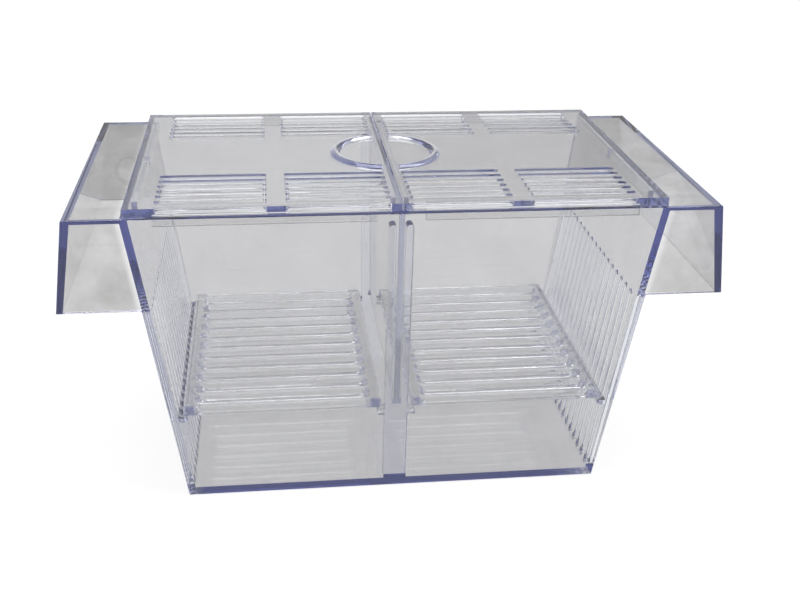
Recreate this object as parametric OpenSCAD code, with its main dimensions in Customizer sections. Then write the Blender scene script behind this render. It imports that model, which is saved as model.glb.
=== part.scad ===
// Fish breeding box with two chambers, side floats, a lift-out divider, two fry grates and a split lid.
// Millimetres. +Z is up, +X runs from left to right, +Y from the front panel to the back panel.
// The origin lies under the middle of the floor.

/* [Tank] */
// Height from the underside of the floor to the rim
tank_h = 98; // [80:1:130]
// Depth over the front and back panels at the rim
rim_depth = 100; // [80:1:140]
// Width over the two slanted side walls at the rim
mouth_w = 161.5; // [134:0.5:200]
// How far each slanted side wall leans in from the rim to the floor
side_lean = 13.75; // [8:0.25:20]
// How far the front panel and the back panel each lean in from the rim to the floor
panel_lean = 6.5; // [0:0.5:10]
// Thickness of the panels and the slanted side walls
wall_t = 2.3; // [1.6:0.1:3.4]
// Thickness of the floor
floor_t = 2.2; // [1.6:0.1:3.4]

/* [Side floats] */
// How far each float stands out past the slanted side wall at the rim
float_w = 15.75; // [10:0.25:24]
// How far each float's outer wall flares out towards its open bottom
float_flare = 4.5; // [0:0.5:8]
// Height of the floats below the rim
float_h = 29.5; // [20:0.5:40]
// Thickness of the floats' roofs
float_roof_t = 1.5; // [1:0.1:3]
// Thickness of the floats' outer walls at the roof
float_wall_t = 2.4; // [1.6:0.1:4]
// Thickness of the floats' outer walls at the open bottom
float_lip_t = 1.8; // [1.2:0.1:4]

/* [Water slots] */
// Number of slots in each slanted side wall
slot_count = 17; // [5:1:17]
// Width of each slot
slot_w = 2; // [1.2:0.1:2.4]
// Distance from the panels to the middle of the outermost slots, at the slots' lower ends
slot_margin = 2.2; // [1.5:0.1:4]
// Distance from the floor to the slots' lower ends
slot_floor_gap = 0.8; // [0.4:0.1:6]
// Distance from the slots' upper ends to the floats' open bottoms
slot_float_gap = 1.5; // [0.5:0.1:12]

/* [Divider] */
// Thickness of the divider plate
divider_t = 1.8; // [1.2:0.1:2.4]
// Gap on each side of the divider in its channel
channel_gap = 0.5; // [0.2:0.05:1]
// Width of each of the two ribs beside the channel
rib_w = 2.3; // [1.6:0.1:3]
// How far the guides stand out from the panels
guide_depth = 4; // [3:0.1:6]
// How far the rounded tops of the guides' ribs stay below the rim
rib_drop = 4; // [1:0.5:15]
// How far the channel reaches down past the grates' upper face
channel_dip = 1.3; // [0:0.1:2]

/* [Grates] */
// Height of the grates' upper face
grate_top = 32.8; // [28:0.1:40]
// Height of the grates' bars
grate_t = 3.4; // [2:0.1:5]
// Number of bars in each grate
bar_count = 12; // [6:1:14]
// Width of each bar
bar_w = 3.4; // [2:0.1:4.5]
// Width of the rails that join the bars' ends
rail_w = 4; // [2:0.5:6]
// Gap between the divider guides and each grate's inner rail
grate_guide_gap = 0.9; // [0.3:0.1:2]
// Gap between each grate and the slanted wall beside it
grate_side_gap = 1.6; // [0.3:0.1:2]
// Gap between each grate and the front and back panels
grate_end_gap = 0.7; // [0.3:0.1:2]
// How far the ledges and lugs that carry the grates reach under them
ledge_hold = 1.4; // [0.8:0.1:2]
// Height of those ledges and lugs
ledge_h = 2; // [1:0.1:4]

/* [Lid] */
// Thickness of the lid's plate
lid_t = 2.5; // [1.6:0.1:4]
// How far the lid stays inside the rim's outer edge
lid_inset = 1; // [0.2:0.1:1.5]
// Gap between the two lid halves
lid_joint_gap = 0.3; // [0.2:0.1:1]
// How deep the lid's skirts hang into the tank
skirt_h = 3.2; // [2:0.1:3.4]
// Thickness of the skirts
skirt_t = 1.7; // [1:0.1:2.4]
// Gap between the divider guides and the front and back skirts
skirt_guide_gap = 3.5; // [0.5:0.1:8]
// How far the skirts stop short of the tank's inner corners
skirt_corner_gap = 6.5; // [3:0.1:12]
// Gap between the two side skirts on one side
side_skirt_gap = 2.4; // [1:0.1:8]
// Thickness of the two joint lips that hold the divider's top between them
lip_t = 1.4; // [1:0.1:1.4]
// Gap between the ends of the joint lips and the divider guides
lip_guide_gap = 1.5; // [0.5:0.1:8]

/* [Lid slots] */
// Number of slots in each group
vent_count = 6; // [2:1:6]
// Width of each slot
vent_w = 2.1; // [1.2:0.1:2.8]
// Width of the solid strip between the grip ring and the nearest slot
vent_ring_gap = 1.6; // [0.5:0.1:3]
// Distance from the lid's front and back edges to the middle of the outermost slots
vent_rim_gap = 5.6; // [4:0.1:8]
// Distance from the lid's middle to the inner slots
vent_joint_gap = 2.75; // [2.5:0.05:5]
// Length of the inner slots
inner_vent_l = 30.75; // [20:0.25:36]
// Width of the solid strip between the inner and the outer slots
vent_strip = 5.5; // [2:0.5:10]
// Width of the solid strip between the outer slots and the lid's side edge
vent_side_gap = 8.75; // [4:0.25:20]

/* [Grip ring] */
// Radius of the ring at the middle of its bead
ring_r = 16.4; // [12:0.1:17]
// Radius of the bead's round section
bead_r = 1.8; // [1:0.1:2.4]
// How far the bead stands above the lid
bead_h = 1.1; // [0.6:0.1:1.6]
// Distance from the lid joint to the flat ends of each half ring
ring_end = 2.7; // [2:0.1:5]

/* [Clearances] */
// Running gap between the divider and the panels, and between the skirts and the tank
slide_gap = 0.35; // [0.2:0.05:0.5]
// Gap under a loose piece where it sits on its seat
seat_gap = 0.1; // [0.05:0.05:0.3]
// Gap between the rim and the lid, and between the divider's top and the lid
lid_gap = 0.3; // [0.2:0.05:0.6]

/* [Hidden] */
$fn = 48;

clear = [0.80, 0.82, 0.92, 0.45];
clear_lid = [0.76, 0.80, 0.94, 0.45];
clear_grate = [0.86, 0.88, 0.92, 0.60];

// Longer than any solid it is used to cut
far = mouth_w + rim_depth;
grate_low = grate_top - grate_t;
seat_z = grate_low - seat_gap;
lid_low = tank_h + lid_gap;
lid_high = lid_low + lid_t;
skirt_low = lid_low - skirt_h;
channel_w = divider_t + 2 * channel_gap;
channel_low = grate_top - channel_dip;
guide_w = channel_w + 2 * rib_w;
grate_inner = guide_w / 2 + grate_guide_gap;
float_low = tank_h - float_h;
slot_low = floor_t + slot_floor_gap;
slot_high = float_low - slot_float_gap;

// Outer face of a slanted side wall at height z
function side_x(z) = mouth_w / 2 - side_lean * (tank_h - z) / tank_h;
// Outer face of the front or back panel at height z
function panel_y(z) = rim_depth / 2 - panel_lean * (tank_h - z) / tank_h;
// Outer face, thickness and inner face of a float's outer wall at height z
function float_x(z) = mouth_w / 2 + float_w + float_flare * (tank_h - z) / float_h;
function float_skin(z) = float_wall_t + (float_lip_t - float_wall_t) * (tank_h - z) / float_h;
function float_wall_in(z) = float_x(z) - float_skin(z);

// A shape drawn in X and Z, carried from y0 to y1
module along_y(y0, y1) {
    translate([0, y1, 0]) rotate([90, 0, 0]) linear_extrude(y1 - y0) children();
}

// A shape drawn in Y and Z, carried from x0 to x1
module along_x(x0, x1) {
    translate([x0, 0, 0]) rotate([90, 0, 90]) linear_extrude(x1 - x0) children();
}

// The back panel's section in Y and Z, from depth d0 to depth d1 behind its outer face
module leaning_strip(d0, d1, z0, z1) {
    polygon([
        [panel_y(z0) - d1, z0],
        [panel_y(z0) - d0, z0],
        [panel_y(z1) - d0, z1],
        [panel_y(z1) - d1, z1]
    ]);
}

// The space between the two leaning panels, drawn in from their inner faces by gap
module between_panels(gap, z0, z1) {
    polygon([
        [-panel_y(z0) + wall_t + gap, z0],
        [panel_y(z0) - wall_t - gap, z0],
        [panel_y(z1) - wall_t - gap, z1],
        [-panel_y(z1) + wall_t + gap, z1]
    ]);
}

// Outline of the front and back panels: the tapering tank with a float on each side
module panel_outline() {
    polygon([
        [-side_x(0), 0],
        [side_x(0), 0],
        [side_x(float_low), float_low],
        [float_x(float_low), float_low],
        [float_x(tank_h), tank_h],
        [-float_x(tank_h), tank_h],
        [-float_x(float_low), float_low],
        [-side_x(float_low), float_low]
    ]);
}

module panel() {
    intersection() {
        along_x(-far, far) leaning_strip(0, wall_t, 0, tank_h);
        along_y(0, rim_depth) panel_outline();
    }
}

// A slot with round ends, drawn upright from z0 to z1
module upright_slot(y, z0, z1) {
    translate([y - slot_w / 2, z0 + slot_w / 2]) square([slot_w, z1 - z0 - slot_w]);
    for (z = [z0 + slot_w / 2, z1 - slot_w / 2]) translate([y, z]) circle(d = slot_w);
}

// A slanted side wall, drawn on the right, with its water slots and the ledge that carries the grate
module side_wall() {
    slot_reach = panel_y(slot_low) - wall_t - slot_margin;
    ledge_x = side_x(grate_low) - wall_t - grate_side_gap - ledge_hold;
    difference() {
        intersection() {
            along_y(-rim_depth, rim_depth) polygon([
                [side_x(floor_t) - wall_t, floor_t],
                [side_x(floor_t), floor_t],
                [side_x(tank_h), tank_h],
                [side_x(tank_h) - wall_t, tank_h]
            ]);
            along_x(0, far) between_panels(0, floor_t, tank_h);
        }
        along_x(0, far) for (i = [0 : slot_count - 1])
            upright_slot((2 * i / (slot_count - 1) - 1) * slot_reach, slot_low, slot_high);
    }
    intersection() {
        along_y(-rim_depth, rim_depth) polygon([
            [ledge_x, seat_z],
            [ledge_x, seat_z - ledge_h / 2],
            [side_x(seat_z - ledge_h) - wall_t, seat_z - ledge_h],
            [side_x(seat_z) - wall_t, seat_z]
        ]);
        along_x(0, far) between_panels(0, seat_z - ledge_h, seat_z);
    }
}

module floor_plate() {
    color(clear) intersection() {
        along_y(-rim_depth, rim_depth) polygon([
            [-side_x(0), 0],
            [side_x(0), 0],
            [side_x(floor_t), floor_t],
            [-side_x(floor_t), floor_t]
        ]);
        along_x(-far, far) between_panels(0, 0, floor_t);
    }
}

// The roof of the right float
module float_roof() {
    roof_low = tank_h - float_roof_t;
    intersection() {
        along_y(-rim_depth, rim_depth) polygon([
            [side_x(roof_low), roof_low],
            [float_wall_in(roof_low), roof_low],
            [float_wall_in(tank_h), tank_h],
            [side_x(tank_h), tank_h]
        ]);
        along_x(0, far) between_panels(0, roof_low, tank_h);
    }
}

// The outer wall of the right float
module float_wall() {
    intersection() {
        along_y(-rim_depth, rim_depth) polygon([
            [float_wall_in(float_low), float_low],
            [float_x(float_low), float_low],
            [float_x(tank_h), tank_h],
            [float_wall_in(tank_h), tank_h]
        ]);
        along_x(0, far) between_panels(0, float_low, tank_h);
    }
}

// The back guide: two ribs beside the divider's channel, a post below them and two lugs under the grates
module divider_guide() {
    lug_reach = grate_inner + ledge_hold;
    rib_round = tank_h - rib_drop - rib_w / 2;
    intersection() {
        along_x(-guide_w, guide_w) leaning_strip(wall_t, wall_t + guide_depth, floor_t, tank_h);
        along_y(0, rim_depth) {
            translate([-guide_w / 2, floor_t]) square([guide_w, channel_low - floor_t]);
            for (side = [-1, 1]) {
                rib_x = side * (channel_w + rib_w) / 2;
                translate([rib_x - rib_w / 2, floor_t]) square([rib_w, rib_round - floor_t]);
                translate([rib_x, rib_round]) circle(d = rib_w);
            }
            translate([-lug_reach, seat_z - ledge_h]) square([2 * lug_reach, ledge_h]);
        }
    }
}

module divider() {
    color(clear) along_x(-divider_t / 2, divider_t / 2)
        between_panels(slide_gap, channel_low + seat_gap, tank_h - lid_gap);
}

// The right grate: bars from side to side, joined by a rail at each end
module grate() {
    outer = side_x(grate_low) - wall_t - grate_side_gap;
    reach = panel_y(grate_low) - wall_t - grate_end_gap;
    pitch = (2 * reach - bar_w) / (bar_count - 1);
    translate([0, 0, grate_low]) linear_extrude(grate_t) {
        for (x = [grate_inner, outer - rail_w]) translate([x, -reach]) square([rail_w, 2 * reach]);
        for (i = [0 : bar_count - 1])
            translate([grate_inner, -reach + i * pitch]) square([outer - grate_inner, bar_w]);
    }
}

// A lid slot with round ends from x0 to x1
module vent(x0, x1) {
    translate([x0 + vent_w / 2, -vent_w / 2]) square([x1 - x0 - vent_w, vent_w]);
    for (x = [x0 + vent_w / 2, x1 - vent_w / 2]) translate([x, 0]) circle(d = vent_w);
}

module lid_plate() {
    edge_x = mouth_w / 2 - lid_inset;
    edge_y = rim_depth / 2 - lid_inset;
    vent_near = ring_r + bead_r + vent_ring_gap + vent_w / 2;
    vent_far = edge_y - vent_rim_gap;
    inner_far = vent_joint_gap + inner_vent_l;
    translate([0, 0, lid_low]) linear_extrude(lid_t) difference() {
        translate([lid_joint_gap / 2, -edge_y]) square([edge_x - lid_joint_gap / 2, 2 * edge_y]);
        for (side = [-1, 1], i = [0 : vent_count - 1])
            translate([0, side * (vent_near + i * (vent_far - vent_near) / (vent_count - 1))]) {
                vent(vent_joint_gap, inner_far);
                vent(inner_far + vent_strip, edge_x - vent_side_gap);
            }
    }
}

// Half of the raised grip ring, cut flat beside the lid joint
module half_ring() {
    intersection() {
        translate([0, 0, lid_high + bead_h - bead_r])
            rotate_extrude() translate([ring_r, 0]) circle(r = bead_r);
        translate([ring_end, -rim_depth / 2, lid_high - bead_h])
            cube([ring_r + bead_r, rim_depth, 3 * bead_h]);
    }
}

// The strips under the right lid half that keep it in the mouth of the tank and beside the divider
module skirts() {
    mouth_x = side_x(skirt_low) - wall_t;
    mouth_y = panel_y(skirt_low) - wall_t;
    near_x = guide_w / 2 + skirt_guide_gap;
    near_y = side_skirt_gap / 2;
    lip_y = mouth_y - guide_depth - lip_guide_gap;
    translate([0, 0, skirt_low]) linear_extrude(skirt_h) {
        for (end = [0, 1]) mirror([0, end]) {
            translate([near_x, mouth_y - slide_gap - skirt_t])
                square([mouth_x - skirt_corner_gap - near_x, skirt_t]);
            translate([mouth_x - slide_gap - skirt_t, near_y])
                square([skirt_t, mouth_y - skirt_corner_gap - near_y]);
        }
        translate([divider_t / 2 + slide_gap, -lip_y]) square([lip_t, 2 * lip_y]);
    }
}

// The right half of the lid
module lid() {
    union() {
        lid_plate();
        half_ring();
        skirts();
    }
}

module front_panel() { color(clear) mirror([0, 1, 0]) panel(); }
module back_panel() { color(clear) panel(); }
module left_side_wall() { color(clear) mirror([1, 0, 0]) side_wall(); }
module right_side_wall() { color(clear) side_wall(); }
module left_float_roof() { color(clear) mirror([1, 0, 0]) float_roof(); }
module right_float_roof() { color(clear) float_roof(); }
module left_float_wall() { color(clear) mirror([1, 0, 0]) float_wall(); }
module right_float_wall() { color(clear) float_wall(); }
module front_divider_guide() { color(clear) mirror([0, 1, 0]) divider_guide(); }
module back_divider_guide() { color(clear) divider_guide(); }
module left_grate() { color(clear_grate) mirror([1, 0, 0]) grate(); }
module right_grate() { color(clear_grate) grate(); }
module left_lid() { color(clear_lid) mirror([1, 0, 0]) lid(); }
module right_lid() { color(clear_lid) lid(); }

front_panel();
back_panel();
left_side_wall();
right_side_wall();
floor_plate();
left_float_roof();
right_float_roof();
left_float_wall();
right_float_wall();
front_divider_guide();
back_divider_guide();
divider();
left_grate();
right_grate();
left_lid();
right_lid();
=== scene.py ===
from math import radians

import bmesh
import bpy
import numpy as np
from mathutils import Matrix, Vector


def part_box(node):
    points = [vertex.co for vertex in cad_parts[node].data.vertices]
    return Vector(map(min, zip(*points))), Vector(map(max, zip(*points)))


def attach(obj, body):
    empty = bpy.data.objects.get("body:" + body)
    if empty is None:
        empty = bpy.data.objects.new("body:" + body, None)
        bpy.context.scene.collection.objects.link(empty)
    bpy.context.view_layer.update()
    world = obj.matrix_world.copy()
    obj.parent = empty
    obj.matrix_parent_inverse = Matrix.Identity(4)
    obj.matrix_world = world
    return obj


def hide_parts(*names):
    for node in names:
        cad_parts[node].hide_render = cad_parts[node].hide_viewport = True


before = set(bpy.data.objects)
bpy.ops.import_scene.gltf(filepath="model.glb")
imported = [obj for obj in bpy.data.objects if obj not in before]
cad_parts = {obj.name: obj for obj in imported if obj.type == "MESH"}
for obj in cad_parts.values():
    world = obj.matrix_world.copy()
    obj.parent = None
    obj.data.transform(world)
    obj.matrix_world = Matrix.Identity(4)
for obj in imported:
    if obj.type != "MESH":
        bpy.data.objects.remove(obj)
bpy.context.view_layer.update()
print("stage: frame loaded")

mm = 0.001
hair = 0.0001 * mm    # places closer than this count as one

# Camera position in metres, its rotation in degrees and its lens in mm
view = {
    "place": (-0.03857, -0.34413, 0.20931),
    "turn": (64.922, -1.140, -6.858),
    "lens": 49.26,
    "nearest": 0.01,    # where its view begins, in metres
}

studio = {
    "floorReach": 4.0,        # half the floor's width
    "floorFront": 3.0,        # how far the floor comes towards the camera
    "wallBehind": 1.4,        # distance from the box to the backdrop
    "wallHigh": 0.3,          # top of the backdrop
    "bend": 0.2,              # radius of the sweep between floor and backdrop
    "bendSteps": 24,
    "underBox": 0.2 * mm,     # gap between the floor and the box's underside
    "matt": 0.9,              # how white the sweep is where the lamps light it
    "shadowShare": 0.12,      # share of the sweep's white that a shadow can take away
    "roomGrey": 0.6,          # the room's grey, high above the horizon
    "whiteTo": 0.19,          # sine of the height above the horizon up to which the room is white
    "greyFrom": 0.24,         # and of the height from which it is grey
    "lightTurns": 48,         # how often a light path may turn
}

# Lamps: place, aim and size in metres, power in watts
lamps = {
    "top": {"place": (0.1, 0.15, 1.5), "aim": (0, 0, 0.05), "size": (1.8, 1.4), "power": 21},
    "left": {"place": (-0.9, -0.45, 1.35), "aim": (0, 0, 0.05), "size": (0.9, 1.3), "power": 12},
    "right": {"place": (0.95, -0.2, 1.35), "aim": (0, 0, 0.05), "size": (0.9, 1.3), "power": 12},
}


# Lowest or highest coordinate of a CAD node: axis 0 to 2, end 0 or 1
def edgeOf(node, axis, end):
    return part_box(node)[end][axis]


# A straight line through two points (height, value), as a function of the height
def leaning(low, lowValue, high, highValue):
    return lambda z: lowValue + (highValue - lowValue) * (z - low) / (high - low)


# Half width of a round-ended strip at a distance from its end, as a share of its radius:
# the square root of 1 - (1 - d/r)^2 within the cap, 1 past it and 0 before it
def capWidth(distance, radius):
    d = np.clip(distance / radius, 0, 1)
    return np.sqrt(1 - (1 - d) ** 2)


# Distances from the end at which a round cap gets a row of points: r (1 - cos angle)
def capRows(radius, steps=4):
    return radius * (1 - np.cos(np.linspace(0, np.pi / 2, steps)))


# Where a block of cells is divided along one axis, in order and without repeats
def divisions(*parts, digits=8):
    return np.unique(np.round(np.concatenate(parts), digits))


# Outer skin of a block of cells. filled[i, j, k] says which cells hold plastic, and points[i, j, k] is
# where each corner lies. A quad stands wherever a filled cell meets an empty one, facing the empty one.
def cellSkin(filled, points):
    full = np.pad(filled, 1)
    corner = np.arange(points[..., 0].size).reshape(points.shape[:3])
    quads = []
    for turn in ((0, 1, 2), (1, 2, 0), (2, 0, 1)):
        cells, ids = full.transpose(turn), corner.transpose(turn)
        before, after = cells[:-1, 1:-1, 1:-1], cells[1:, 1:-1, 1:-1]
        loop = np.stack([ids[:, :-1, :-1], ids[:, 1:, :-1], ids[:, 1:, 1:], ids[:, :-1, 1:]], -1)
        quads += [loop[before & ~after], loop[after & ~before][:, ::-1]]
    used, order = np.unique(np.concatenate(quads), return_inverse=True)
    return points.reshape(-1, 3)[used], order.reshape(-1, 4)


# Puts a mesh, a lamp or a camera into the scene
def addObject(name, data):
    thing = bpy.data.objects.new(name, data)
    bpy.context.scene.collection.objects.link(thing)
    return thing


# Makes a piece from points and faces
def makePiece(name, points, faces, cuts=()):
    mesh = bpy.data.meshes.new(name)
    mesh.from_pydata(points.tolist(), [], faces.tolist() if isinstance(faces, np.ndarray) else faces)
    joinFlat(mesh, cuts)
    return addObject(name, mesh)


# Merges corners that lie nearer than near and joins faces that meet at less than flat degrees, but not
# across the lines y = cuts, so that no face is left with a hole in it
def joinFlat(mesh, cuts, near=0.002 * mm, flat=0.3):
    work = bmesh.new()
    work.from_mesh(mesh)
    bmesh.ops.remove_doubles(work, verts=work.verts, dist=near)
    bmesh.ops.dissolve_degenerate(work, edges=work.edges, dist=near)
    for face in work.faces:
        face.material_index = int(np.searchsorted(cuts, face.calc_center_median().y))
    bmesh.ops.dissolve_limit(work, angle_limit=radians(flat), verts=work.verts, edges=work.edges,
                             delimit={"MATERIAL"})
    for face in work.faces:
        face.material_index = 0
    work.to_mesh(mesh)
    work.free()


# Replaces a piece's mesh with what its modifiers make of it
def applyModifiers(piece):
    bpy.context.view_layer.update()
    made = piece.evaluated_get(bpy.context.evaluated_depsgraph_get())
    done = bpy.data.meshes.new_from_object(made)
    piece.modifiers.clear()
    piece.data = done


# Welds a second closed solid onto a piece, so that no wall is left between them
def weld(piece, other, cuts):
    union = piece.modifiers.new("weld", "BOOLEAN")
    union.operation, union.solver, union.object = "UNION", "EXACT", other
    applyModifiers(piece)
    bpy.data.objects.remove(other)
    joinFlat(piece.data, cuts)


# Rounds the outward edges above a height that turn by more than the angle turn, as polishing does to a
# mould. Faces that meet at less than the angle crease are shaded as one. Both angles are in degrees
def roundEdges(piece, width, segments=2, above=-1.0, turn=35, crease=12):
    work = bmesh.new()
    work.from_mesh(piece.data)
    weight = work.edges.layers.float.new("bevel_weight_edge")
    for edge in work.edges:
        if edge.is_manifold and edge.is_convex and edge.calc_face_angle() > radians(turn):
            edge[weight] = float(max(vert.co.z for vert in edge.verts) > above)
    work.to_mesh(piece.data)
    work.free()
    bevel = piece.modifiers.new("rounded", "BEVEL")
    bevel.limit_method, bevel.width, bevel.segments = "WEIGHT", width, segments
    bevel.use_clamp_overlap = False
    applyModifiers(piece)
    piece.data.shade_smooth()
    piece.data.set_sharp_from_angle(angle=radians(crease))


# Marks the broad faces, which get a painted grey shade that stands for the darker room seen through the
# walls.
# Slot walls, bars and edges stay clear. Faces count as one where they share a plane, with the normal n and
# the distance n . c from the origin the same to within turn and step. Each share (axis, distance, part)
# leaves that part of the painted shade on faces that look along the axis and lie past the distance in X
def markBroad(mesh, least, shares=(), turn=0.005, step=0.1 * mm, facing=0.7):
    area, normal, centre = (np.empty(len(mesh.polygons) * width) for width in (1, 3, 3))
    mesh.polygons.foreach_get("area", area)
    mesh.polygons.foreach_get("normal", normal)
    mesh.polygons.foreach_get("center", centre)
    normal, centre = normal.reshape(-1, 3), centre.reshape(-1, 3)
    plane = np.column_stack([normal / turn, (normal * centre).sum(1) / step]).round()
    plane = np.unique(plane, axis=0, return_inverse=True)[1].ravel()
    broad = np.bincount(plane, area)[plane] > least
    share = broad.astype(np.float32)
    for axis, limit, part in shares:
        share[(np.abs(centre[:, 0]) > limit) & (np.abs(normal[:, axis]) > facing)] *= part
    paintedShade = mesh.attributes.new("paintedShade", "FLOAT", "FACE")
    paintedShade.data.foreach_set("value", share)


# Hands a finished piece to the frame: its body, the CAD nodes it stands for and its material
def hangOn(piece, body, nodes, material, shares=()):
    markBroad(piece.data, plastic["broad"], shares)
    piece.data.materials.clear()
    piece.data.materials.append(material)
    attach(piece, body)
    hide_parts(*nodes)
    print("stage:", piece.name, len(piece.data.polygons), "faces")


# Lines and levels that several pieces share, read from the frame
floorTop = edgeOf("floor_plate", 2, 1)
rimHigh = edgeOf("back_panel", 2, 1)
panelIn = leaning(floorTop, edgeOf("floor_plate", 1, 1), rimHigh, edgeOf("right_float_roof", 1, 1))
wallThick = edgeOf("back_panel", 1, 1) - panelIn(rimHigh)
sideOut = leaning(floorTop, edgeOf("floor_plate", 0, 1), rimHigh, edgeOf("right_side_wall", 0, 1))
grateLow, grateHigh = edgeOf("right_grate", 2, 0), edgeOf("right_grate", 2, 1)
guideDepth = panelIn(floorTop) - edgeOf("back_divider_guide", 1, 0)


def panelOut(z):
    return panelIn(z) + wallThick


def sideIn(z):
    return sideOut(z) - wallThick


tank = {
    "slots": 17,
    "slotWidth": 2 * mm,
    "slotMargin": 2.2 * mm,      # from the panels to the middle of the outermost slots, at their lower ends
    "slotFloorGap": 0.8 * mm,
    "slotFloatGap": 1.5 * mm,    # from the slots' upper ends to the floats' open bottoms
    "floatSkinTop": 2.4 * mm,
    "floatSkinLow": 1.8 * mm,
    "ribWidth": 2.3 * mm,
    "channelHalf": 1.4 * mm,
    "closeUp": 0.8,              # the slots' rows close up by this beside the guides, to clear them
    "seatGap": 0.1 * mm,         # under the grates and the divider
    "ledgeHigh": 2 * mm,
    "ledgeHold": 1.4 * mm,       # how far the ledges reach under the grates
    "rounding": 0.25 * mm,
}


# Columns of cells from the outside of the tank to its middle. The chamber's holds the floor and panels only
floatWall, floatRoof, sideWall, ledgeCell, chamber, lugCell, ribCell, channelCell = range(8)


# The tank as one moulding: a block of cells whose corner rows lean with the walls. Columns of cells lie
# across X, in the order above and back again, and rows across Y (panel, guide, slots, and back) and up Z
def buildTank(t):
    floatLow, roofLow = edgeOf("right_float_wall", 2, 0), edgeOf("right_float_roof", 2, 0)
    ribTop, lugReach = edgeOf("back_divider_guide", 2, 1), edgeOf("back_divider_guide", 0, 1)
    floatLip, floatTop = edgeOf("right_float_wall", 0, 1), edgeOf("right_float_wall", 0, 0)
    floatIn = leaning(floatLow, floatLip - t["floatSkinLow"], rimHigh, floatTop)
    floatOut = leaning(floatLow, floatLip, rimHigh, floatTop + t["floatSkinTop"])
    slotLow, slotHigh = floorTop + t["slotFloorGap"], floatLow - t["slotFloatGap"]
    slotHalf, ribHalf = t["slotWidth"] / 2, t["ribWidth"] / 2
    ribMid = t["channelHalf"] + ribHalf
    seat = grateLow - t["seatGap"]
    seatLow = seat - t["ledgeHigh"]
    channelLow = edgeOf("divider", 2, 0) - t["seatGap"]
    ledgeReach = sideIn(seat) - (edgeOf("right_grate", 0, 1) - t["ledgeHold"])

    z = divisions(
        [0, floorTop, seatLow, (seatLow + seat) / 2, seat, channelLow, floatLow, roofLow, rimHigh],
        slotLow + capRows(slotHalf), slotHigh - capRows(slotHalf), ribTop - capRows(ribHalf))

    ribWide = ribHalf * capWidth(ribTop - z, ribHalf)
    ledge = sideIn(z) - ledgeReach * (np.abs(z - seatLow) > hair)    # its underside slopes out from the wall
    half = np.stack([ribMid - ribWide, ribMid + ribWide, np.full(z.size, lugReach), ledge,
                     sideIn(z), sideOut(z), floatIn(z), floatOut(z)])
    x = np.concatenate([-half[::-1], half])

    # Across Y the rows follow the slots beside the walls, and close up to clear the guides in the middle
    slotReach = panelIn(slotLow) - t["slotMargin"]
    middle = np.linspace(-slotReach, slotReach, t["slots"])
    slotWide = slotHalf * capWidth(np.minimum(z - slotLow, slotHigh - z), slotHalf)
    slotEdge = (middle[:, None, None] + slotWide * np.array([-1, 0, 1])[:, None]).reshape(-1, z.size)
    nearWall = [slotEdge, (panelIn(z) + slotReach + slotHalf) / 2]
    nearGuide = [slotEdge * t["closeUp"], panelIn(z) - guideDepth]
    y = np.stack([np.concatenate([[-panelOut(z), -panelIn(z), -rows[1]], rows[0],
                                  [rows[1], panelIn(z), panelOut(z)]]) for rows in (nearWall, nearGuide)])
    inMiddle = (np.abs(x[:, 0]) < lugReach + hair).astype(int)    # which of the two sets a column takes

    column = np.arange(x.shape[0] - 1)
    role = np.minimum(column, column[::-1])[:, None, None]
    row = np.arange(y.shape[1] - 1)[None, :, None]
    fromEnd = np.minimum(row, y.shape[1] - 2 - row)
    isSlot = (fromEnd >= 3) & (row % 3 != 2)    # each slot is two cells wide, with one solid cell between
    level = ((z[1:] + z[:-1]) / 2)[None, None, :]
    inLedge = (level > seatLow) & (level < seat)
    filled = (fromEnd == 0) & ((role >= sideWall) | (level > floatLow))
    filled = filled | (role >= sideWall) & (level < floorTop)
    filled = filled | (role == sideWall) & ~(isSlot & (level > slotLow) & (level < slotHigh))
    filled = filled | (role == ledgeCell) & inLedge
    filled = filled | (role == lugCell) & (fromEnd == 1) & inLedge
    filled = filled | (role == ribCell) & (fromEnd == 1) & (level < ribTop)
    filled = filled | (role == channelCell) & (fromEnd == 1) & (level < channelLow)
    filled = filled | (role == floatRoof) & (level > roofLow)
    filled = filled | (role == floatWall) & (level > floatLow)

    points = np.stack(np.broadcast_arrays(x[:, None, :], y[inMiddle], z), -1)
    piece = makePiece("tank_moulding", *cellSkin(filled, points), middle)
    roundEdges(piece, t["rounding"])
    return piece


divider = {
    "slideGap": 0.35 * mm,       # between its ends and the panels
    "rounding": 0.2 * mm,
    "depth": 0.2,                # strength of its body colour beside the tank's
}


# The divider: one block whose ends lean with the panels
def buildDivider(d):
    x = np.array([edgeOf("divider", 0, 0), edgeOf("divider", 0, 1)])
    z = np.array([edgeOf("divider", 2, 0), edgeOf("divider", 2, 1)])
    end = panelIn(z) - d["slideGap"]
    y = np.stack([-end, end])
    points = np.stack(np.broadcast_arrays(x[:, None, None], y, z), -1)
    piece = makePiece("divider_plate", *cellSkin(np.ones((1, 1, 1), bool), points))
    roundEdges(piece, d["rounding"])
    return piece


grate = {
    "bars": 12,
    "barWidth": 3.4 * mm,
    "railWidth": 4 * mm,
    "rounding": 1.15 * mm,
    "roundingSteps": 6,
    "depth": 0.5,                # strength of its body colour beside the tank's
    "paintedShade": 0.14,                # its own share of the painted shade
}


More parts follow.
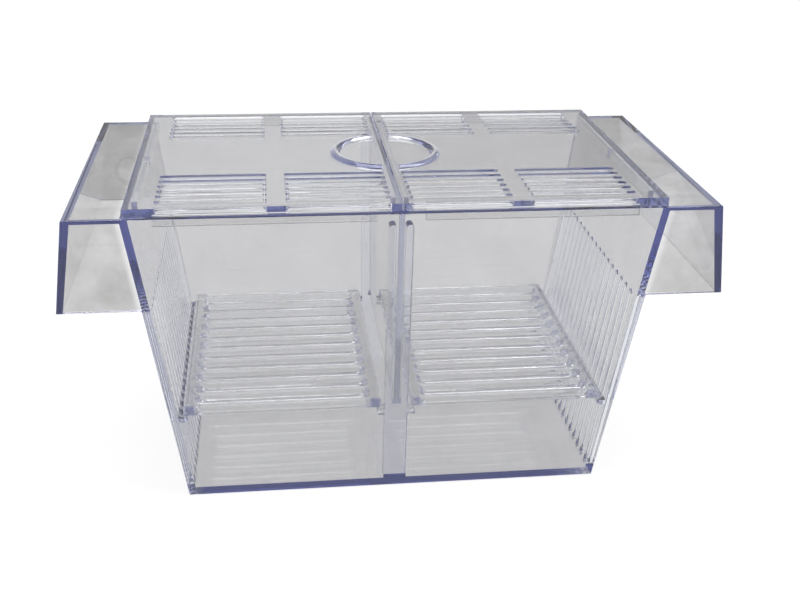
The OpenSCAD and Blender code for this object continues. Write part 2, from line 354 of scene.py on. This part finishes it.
# One grate, drawn on the right: bars across X between two rails. The rows beside each round-ended slot
# close in on the slot's middle at its ends
def buildGrate(g, node, side):
    inner, outer = sorted(abs(edgeOf(node, 0, end)) for end in (0, 1))
    reach = edgeOf(node, 1, 1)
    start = np.linspace(-reach, reach - g["barWidth"], g["bars"])
    middle = (start[:-1] + start[1:] + g["barWidth"]) / 2
    half = middle[0] - start[0] - g["barWidth"]
    slotFrom, slotTo = inner + g["railWidth"], outer - g["railWidth"]
    x = np.concatenate([[inner], slotFrom + capRows(half), slotTo - capRows(half)[::-1], [outer]])
    wide = half * capWidth(np.minimum(x - slotFrom, slotTo - x), half)
    beside = np.stack([middle - wide[:, None], middle + wide[:, None]], -1).reshape(x.size, -1)
    ends = np.full((x.size, 1), reach)
    y = np.concatenate([-ends, beside, ends], 1)
    z = np.array([grateLow, grateHigh])
    filled = np.ones((x.size - 1, y.shape[1] - 1, 1), bool)
    filled[1:-1, 1::2] = False    # bars and slots take turns across Y
    points = np.stack(np.broadcast_arrays(x[:, None, None], y[..., None], z), -1)
    if side < 0:
        filled, points = filled[::-1], points[::-1] * (-1, 1, 1)
    piece = makePiece(node + "_bars", *cellSkin(filled, points), middle)
    roundEdges(piece, g["rounding"], g["roundingSteps"])
    return piece


lid = {
    "thick": 2.5 * mm,
    "slots": 6,
    "slotWidth": 2.1 * mm,
    "slotRingGap": 1.6 * mm,     # solid strip between the ring and the nearest slot
    "slotRimGap": 5.6 * mm,      # from the lid's edge to the middle of the outermost slot
    "slotJointGap": 2.75 * mm,
    "slotLength": 30.75 * mm,    # of the inner slots
    "slotStrip": 5.5 * mm,       # solid strip between the inner and the outer slots
    "slotSideGap": 8.75 * mm,
    "skirtThick": 1.7 * mm,
    "skirtGap": 0.35 * mm,
    "skirtGuideGap": 3.5 * mm,
    "cornerGap": 6.5 * mm,
    "sideSkirtGap": 2.4 * mm,
    "lipThick": 1.4 * mm,
    "lipGuideGap": 1.5 * mm,
    "ringRadius": 16.4 * mm,
    "beadRadius": 1.8 * mm,
    "beadHigh": 1.1 * mm,
    "ringEnd": 2.7 * mm,         # from the lid joint to the ring's flat ends
    "rounding": 0.14 * mm,
    "sharpBelow": 0.1 * mm,      # above the skirts' bottoms, whose edges aren't rounded
    "depth": 0.8,                # strength of its body colour beside the tank's
    "paintedShade": {"left": 0.10, "right": 0.36},    # each half's own share of the painted shade
    "clear": (0.88, 0.88, 0.865),             # what it lets through of white with no painted shade
}


# One lid half, drawn on the right: a slotted plate with skirts and a joint lip below it, whose lower edges
# stay sharp
def buildLid(p, node, side):
    low, high = edgeOf(node, 2, 0), edgeOf(node, 2, 1) - p["beadHigh"]
    plateLow = high - p["thick"]
    jointFace, edgeX = sorted(abs(edgeOf(node, 0, end)) for end in (0, 1))
    edgeY = edgeOf(node, 1, 1)
    mouthX, mouthY = sideIn(low), panelIn(low)
    lipIn = edgeOf("divider", 0, 1) + p["skirtGap"]
    lipOut = lipIn + p["lipThick"]
    lipY = mouthY - guideDepth - p["lipGuideGap"]
    skirtY = mouthY - p["skirtGap"]
    skirtX = mouthX - p["skirtGap"]
    sideY = p["sideSkirtGap"] / 2
    skirtNear = tank["channelHalf"] + tank["ribWidth"] + p["skirtGuideGap"]
    skirtFar, skirtFarY = mouthX - p["cornerGap"], mouthY - p["cornerGap"]
    half = p["slotWidth"] / 2
    near, far = p["ringRadius"] + p["beadRadius"] + p["slotRingGap"] + half, edgeY - p["slotRimGap"]
    innerFar = p["slotJointGap"] + p["slotLength"]
    groups = [(p["slotJointGap"], innerFar), (innerFar + p["slotStrip"], edgeX - p["slotSideGap"])]

    caps = [np.concatenate([a + capRows(half), b - capRows(half)]) for a, b in groups]
    x = divisions(
        [jointFace, lipIn, lipOut, skirtNear, skirtFar, skirtX - p["skirtThick"], skirtX, edgeX], *caps)
    middle = np.linspace(near, far, p["slots"])
    middle = np.concatenate([-middle[::-1], middle])
    skirtEnds = np.array([sideY, skirtFarY, lipY, skirtY - p["skirtThick"], skirtY, edgeY])
    y = divisions(-skirtEnds, skirtEnds, middle - half, middle, middle + half)
    z = np.array([low, plateLow, high])

    # Rows at a slot's edge close in on its middle where the slot ends round
    wide = np.zeros(x.size)
    for a, b in groups:
        own = (x > a - hair) & (x < b + hair)
        wide[own] = capWidth(np.minimum(x - a, b - x), half)[own]
    nearest = middle[np.abs(y[:, None] - middle).argmin(1)]
    onEdge = np.abs(np.abs(y - nearest) - half) < hair
    bent = np.where(onEdge, nearest + (y - nearest) * wide[:, None], y)

    cx, cy = ((a[1:] + a[:-1]) / 2 for a in (x, y))
    inSlot = (np.abs(cy[:, None] - middle) < half).any(1)[None, :]
    alongSlot = np.any([(cx > a) & (cx < b) for a, b in groups], axis=0)[:, None]
    cx, cy = cx[:, None], np.abs(cy)[None, :]
    plate = ~(inSlot & alongSlot)
    skirts = (cy > skirtY - p["skirtThick"]) & (cy < skirtY) & (cx > skirtNear) & (cx < skirtFar)
    skirts |= (cx > skirtX - p["skirtThick"]) & (cx < skirtX) & (cy > sideY) & (cy < skirtFarY)
    skirts |= (cx > lipIn) & (cx < lipOut) & (cy < lipY)
    filled = np.stack([skirts, plate], -1)
    points = np.stack(np.broadcast_arrays(x[:, None, None], bent[..., None], z), -1)
    if side < 0:
        filled, points = filled[::-1], points[::-1] * (-1, 1, 1)
    cuts = np.unique(np.concatenate([middle, [-sideY, sideY]]))
    piece = makePiece(node + "_plate", *cellSkin(filled, points), cuts)
    weld(piece, halfRing(p, high, side), cuts)
    roundEdges(piece, p["rounding"], above=low + p["sharpBelow"])
    return piece


# Half of the grip ring: a bead's section, which starts inside the lid's plate, carried round an arc that
# stops on a plane beside the lid joint. Point (t, s) lies at radius r(s) = ringRadius + beadRadius cos s and
# at angle t acos(ringEnd / r(s)), with t from -1 to 1
def halfRing(p, top, side, steps=72, sides=20):
    centre = top + p["beadHigh"] - p["beadRadius"]
    rootAngle = np.arcsin((top - p["beadHigh"] - centre) / p["beadRadius"])
    s = np.linspace(rootAngle, np.pi - rootAngle, sides)
    radius = p["ringRadius"] + p["beadRadius"] * np.cos(s)
    height = centre + p["beadRadius"] * np.sin(s)
    turn = np.linspace(-1, 1, steps)[:, None] * np.arccos(p["ringEnd"] / radius)
    points = np.stack([side * radius * np.cos(turn), radius * np.sin(turn),
                       np.broadcast_to(height, turn.shape)], -1).reshape(-1, 3)
    ids = np.arange(steps * sides).reshape(steps, sides)
    onward = np.roll(ids, -1, 1)
    quads = np.stack([ids[:-1], onward[:-1], onward[1:], ids[1:]], -1).reshape(-1, 4)[:, ::side]
    ends = [ids[0][::-side].tolist(), ids[-1][::side].tolist()]
    return makePiece("ring", points, quads.tolist() + ends)


# Wraps one socket of a node tree, so that shader maths reads as ordinary sums
class Socket:
    def __init__(self, tree, link=None):
        self.tree, self.link = tree, link

    # Adds a node: first its settings, then its sockets' values or links. out picks the socket it hands back
    def add(self, kind, settings=None, sockets=None, out=0):
        node = self.tree.nodes.new(kind)
        for name, value in (settings or {}).items():
            setattr(node, name, value)
        for name, value in (sockets or {}).items():
            socket = node.inputs[name] if isinstance(name, int) else self.live(node.inputs, name)
            if isinstance(value, Socket):
                self.tree.links.new(value.link, socket)
            else:
                socket.default_value = value
        if not len(node.outputs):
            return None
        return Socket(self.tree, node.outputs[out] if isinstance(out, int) else self.live(node.outputs, out))

    # The socket of that name which the node's settings leave in use
    def live(self, sockets, name):
        return next(socket for socket in sockets if socket.name == name and socket.enabled)

    def maths(self, operation, first, second):
        return self.add("ShaderNodeMath", {"operation": operation}, {0: first, 1: second})

    # Goes smoothly from start to end while the value goes from low to high
    def eased(self, low, high, start=0.0, end=1.0):
        return self.add("ShaderNodeMapRange", {"interpolation_type": "SMOOTHSTEP"},
                        {"Value": self, "From Min": low, "From Max": high, "To Min": start, "To Max": end})

    def __add__(self, other):
        return self.maths("ADD", self, other)

    def __sub__(self, other):
        return self.maths("SUBTRACT", self, other)

    def __rsub__(self, other):
        return self.maths("SUBTRACT", other, self)

    def __mul__(self, other):
        return self.maths("MULTIPLY", self, other)

    __radd__, __rmul__ = __add__, __mul__


# Empties the node tree of a new material or world for wiring
def freshTree(owner):
    owner.use_nodes = True
    owner.node_tree.nodes.clear()
    return Socket(owner.node_tree)


plastic = {
    "ior": 1.59,                      # polystyrene
    "paintedShade": 0.34,                     # the painted grey shade's share on the tank's and the divider's broad faces
    "fullShade": (0.40, 0.393, 0.375),    # what a wall would let through of white under full painted shade
    "clear": (0.97, 0.97, 0.955),     # the same with no painted shade, at slot walls, bars and edges
    "broad": 400 * mm * mm,           # least area of a broad face
    "tint": (0.056, 0.13, 0.585),     # what a long way through the plastic leaves of white
    "depth": 27.0,                    # how fast it takes the rest away, per metre
    "polish": 0.004,                  # roughness of the clean faces
    "haze": 0.05,                     # roughness that smudges add
    "hazeFrom": 0.5,                  # level of the smudges at which the haze begins
    "hazeTo": 0.8,                    # and at which it is full
    "smudge": {"Scale": 60, "Detail": 4.0, "Roughness": 0.6},
    "rub": 0.06,                      # roughness that rub marks add
    "rubFrom": 0.66,                  # level of the streaks at which a rub mark begins
    "rubTo": 0.78,                    # and at which it is full
    "streak": {"Scale": 1.0, "Detail": 1.0},
    "rubs": (((0, 0, 0.5), (30, 900, 900)), ((0.4, 0, -0.9), (900, 40, 700))),    # turn and scale of each
    "swell": 0.03 * mm,               # height of the slow waves that cooling leaves
    "wave": {"Scale": 22, "Detail": 1.0, "Roughness": 0.4},
    "scratch": 0.0008 * mm,           # depth of the rub marks
    "cloud": 0.18,                    # how much the painted shade drifts at random from place to place
    "grime": 0.09,                    # how much more of the grey lies in the rub marks, as grime
}


# The floats get a heavier painted grey shade than the rest of the tank, and the mould's gate left a round
# sink mark on the back of each
floats = {
    "begin": sideOut(0),              # the heavier painted shade begins past the side walls: |x| = begin + lean z
    "lean": sideOut(1) - sideOut(0),
    "fade": 2 * mm,                   # and is full this much further out
    "paintedShade": 0.36,                     # painted shade that the floats carry beyond the tank's own
    "cloud": 0.8,                     # how much that drifts from place to place
    "shares": ((2, 81 * mm, 0.78), (0, 86 * mm, 0.12)),    # parts of the painted shade left on the roofs and on the outer walls
    "gate": (88.5 * mm, 46.5 * mm, 79.5 * mm),
    "gateRadius": 5.5 * mm,
    "gateRim": 0.9 * mm,
    "gateSink": 0.15 * mm,
    "gateShade": 0.9,                 # painted shade in the mark's rim, standing in for its refraction
}


# Clear moulded plastic: glass with a blue-violet body colour, a painted grey shade on broad faces, slow
# waves, fine rub marks and faint haze. depth scales the body colour, the next argument is the painted
# shade's share on broad faces and outside adds the floats' heavier painted shade and their gate marks
def clearPlastic(name, p, depth=1.0, paintedShade=plastic["paintedShade"], outside=None):
    material = bpy.data.materials.new(name)
    s = freshTree(material)
    place = s.add("ShaderNodeTexCoord", out="Object")
    waves = s.add("ShaderNodeTexNoise", None, {"Vector": place, **p["wave"]})
    smudge = s.add("ShaderNodeTexNoise", None, {"Vector": place, **p["smudge"]})
    marks = []
    for turn, scale in p["rubs"]:
        along = s.add("ShaderNodeMapping", None, {"Vector": place, "Rotation": turn, "Scale": scale})
        streaks = s.add("ShaderNodeTexNoise", None, {"Vector": along, **p["streak"]})
        marks.append(streaks.eased(p["rubFrom"], p["rubTo"]))
    scratch = marks[0] + marks[1]
    rough = smudge.eased(p["hazeFrom"], p["hazeTo"]) * p["haze"] + scratch * p["rub"] + p["polish"]
    height = waves * p["swell"] - scratch * p["scratch"]
    # Painted shade: how far the broad faces are greyed, drifting at random and heavier in the rub marks as
    # grime
    shadeAndGrime = paintedShade + (smudge - 0.5) * p["cloud"] + marks[0] * p["grime"]
    if outside:
        x, y, z = (s.add("ShaderNodeSeparateXYZ", None, {"Vector": place}, out=axis) for axis in "XYZ")
        far = s.maths("ABSOLUTE", x, 0)
        pastWall = far - z * outside["lean"]
        onFloat = pastWall.eased(outside["begin"], outside["begin"] + outside["fade"])
        # The floats get a heavier painted shade past the side walls
        shadeAndGrime = shadeAndGrime + onFloat * ((smudge - 0.5) * outside["cloud"] + outside["paintedShade"])
        mirrored = s.add("ShaderNodeCombineXYZ", None, {"X": far, "Y": y, "Z": z})
        away = s.add("ShaderNodeVectorMath", {"operation": "DISTANCE"},
                     {0: mirrored, 1: outside["gate"]}, out="Value")
        sunk = away.eased(outside["gateRadius"] - outside["gateRim"], outside["gateRadius"], 1.0, 0.0)
        height = height - sunk * outside["gateSink"]
        # Painted shade in the gate mark's rim, where a varied backdrop would show the rim's refraction
        shadeAndGrime = shadeAndGrime + sunk * (1 - sunk) * (4 * outside["gateShade"])    # 4 s (1 - s) is 1 mid-rim
    normal = s.add("ShaderNodeBump", None, {"Strength": 1.0, "Distance": 1.0, "Height": height})
    broad = s.add("ShaderNodeAttribute", {"attribute_name": "paintedShade"}, out="Fac")
    # The base colour goes from clear towards grey by the painted shade on broad faces
    skin = s.add("ShaderNodeMix", {"data_type": "RGBA"},
                 {"Factor": broad * shadeAndGrime, "A": (*p["clear"], 1), "B": (*p["fullShade"], 1)}, out="Result")
    body = s.add("ShaderNodeBsdfPrincipled", None, {
        "Base Color": skin, "Roughness": rough, "IOR": p["ior"],
        "Transmission Weight": 1.0, "Normal": normal})
    soak = s.add("ShaderNodeVolumeAbsorption", None,
                 {"Color": (*p["tint"], 1), "Density": p["depth"] * depth})
    s.add("ShaderNodeOutputMaterial", None, {"Surface": body, "Volume": soak})
    return material


hangOn(buildTank(tank), "tank", [
    "front_panel", "back_panel", "left_side_wall", "right_side_wall", "floor_plate", "left_float_roof",
    "right_float_roof", "left_float_wall", "right_float_wall", "front_divider_guide", "back_divider_guide",
], clearPlastic("tank_plastic", plastic, outside=floats), floats["shares"])
hangOn(buildDivider(divider), "divider", ["divider"],
       clearPlastic("divider_plastic", plastic, depth=divider["depth"]))
for side, hand in ((-1, "left"), (1, "right")):
    hangOn(buildGrate(grate, hand + "_grate", side), hand + "_grate", [hand + "_grate"],
           clearPlastic(hand + "_grate_plastic", plastic, depth=grate["depth"], paintedShade=grate["paintedShade"]))
    hangOn(buildLid(lid, hand + "_lid", side), hand + "_lid", [hand + "_lid"],
           clearPlastic(hand + "_lid_plastic", dict(plastic, clear=lid["clear"]), depth=lid["depth"],
                        paintedShade=lid["paintedShade"][hand]))


# Floor and backdrop in one sweep: a profile in Y and Z with a quarter-round bend, carried across X
def buildStage(r):
    bend = np.linspace(0, np.pi / 2, r["bendSteps"])
    wall = r["wallBehind"]
    y = np.concatenate([[-r["floorFront"]], wall - r["bend"] + r["bend"] * np.sin(bend), [wall]])
    z = np.concatenate([[0], r["bend"] * (1 - np.cos(bend)), [r["wallHigh"]]]) - r["underBox"]
    x = np.array([-r["floorReach"], r["floorReach"]])
    points = np.stack([np.repeat(x, y.size), np.tile(y, 2), np.tile(z, 2)], -1)
    ids = np.arange(2 * y.size).reshape(2, -1)
    quads = np.stack([ids[0, :-1], ids[1, :-1], ids[1, 1:], ids[0, 1:]], -1)
    mesh = bpy.data.meshes.new("sweep")
    mesh.from_pydata(points.tolist(), [], quads.tolist())
    sweep = addObject("sweep", mesh)
    material = bpy.data.materials.new("white_sweep")
    s = freshTree(material)
    direct, mirrored, through = (s.add("ShaderNodeLightPath", out=ray)
                                 for ray in ("Is Camera Ray", "Is Glossy Ray", "Is Transmission Ray"))
    seen = s.maths("MINIMUM", direct + mirrored + through, 1)
    matt = s.add("ShaderNodeBsdfDiffuse", None, {"Color": (*[r["matt"]] * 3, 1)})
    glow = s.add("ShaderNodeEmission", None, {"Color": (1, 1, 1, 1), "Strength": 1.0})
    both = s.add("ShaderNodeMixShader", None, {0: seen * (1 - r["shadowShare"]), 1: matt, 2: glow})
    s.add("ShaderNodeOutputMaterial", None, {"Surface": both})
    mesh.materials.append(material)


def buildLamps(lampSet):
    for name, lamp in lampSet.items():
        light = bpy.data.lights.new(name, "AREA")
        light.shape, light.size, light.size_y = "RECTANGLE", *lamp["size"]
        light.energy = lamp["power"]
        holder = addObject(name, light)
        holder.location = lamp["place"]
        way = Vector(lamp["aim"]) - Vector(lamp["place"])
        holder.rotation_euler = way.to_track_quat("-Z", "Y").to_euler()


# The room: white up to a little above the horizon, as the sweep is, and grey above
def buildWorld(r):
    world = bpy.data.worlds.new("room")
    s = freshTree(world)
    way = s.add("ShaderNodeTexCoord", out="Generated")
    rise = s.add("ShaderNodeSeparateXYZ", None, {"Vector": way}, out="Z")
    tone = s.add("ShaderNodeMix", {"data_type": "RGBA"}, {
        "Factor": rise.eased(r["whiteTo"], r["greyFrom"]), "A": (1, 1, 1, 1),
        "B": (*[r["roomGrey"]] * 3, 1)}, out="Result")
    air = s.add("ShaderNodeBackground", None, {"Color": tone, "Strength": 1.0})
    s.add("ShaderNodeOutputWorld", None, {"Surface": air})
    bpy.context.scene.world = world


def placeCamera(v):
    camera = addObject("camera", bpy.data.cameras.new("camera"))
    camera.location = v["place"]
    camera.rotation_euler = [radians(a) for a in v["turn"]]
    camera.data.lens = v["lens"]
    camera.data.clip_start = v["nearest"]
    bpy.context.scene.camera = camera


# Light goes through and along many walls here, so each path may turn often. The denoiser leaves out the
# normals, because those that it gets belong to what lies behind the walls
def allowLongPaths(turns):
    paths = bpy.context.scene.cycles
    paths.max_bounces = paths.transmission_bounces = paths.glossy_bounces = turns
    paths.denoising_input_passes = "RGB_ALBEDO"


buildStage(studio)
buildLamps(lamps)
allowLongPaths(studio["lightTurns"])
buildWorld(studio)
placeCamera(view)
bpy.context.scene.view_settings.view_transform = "Standard"
print("stage: floor, lamps and camera")
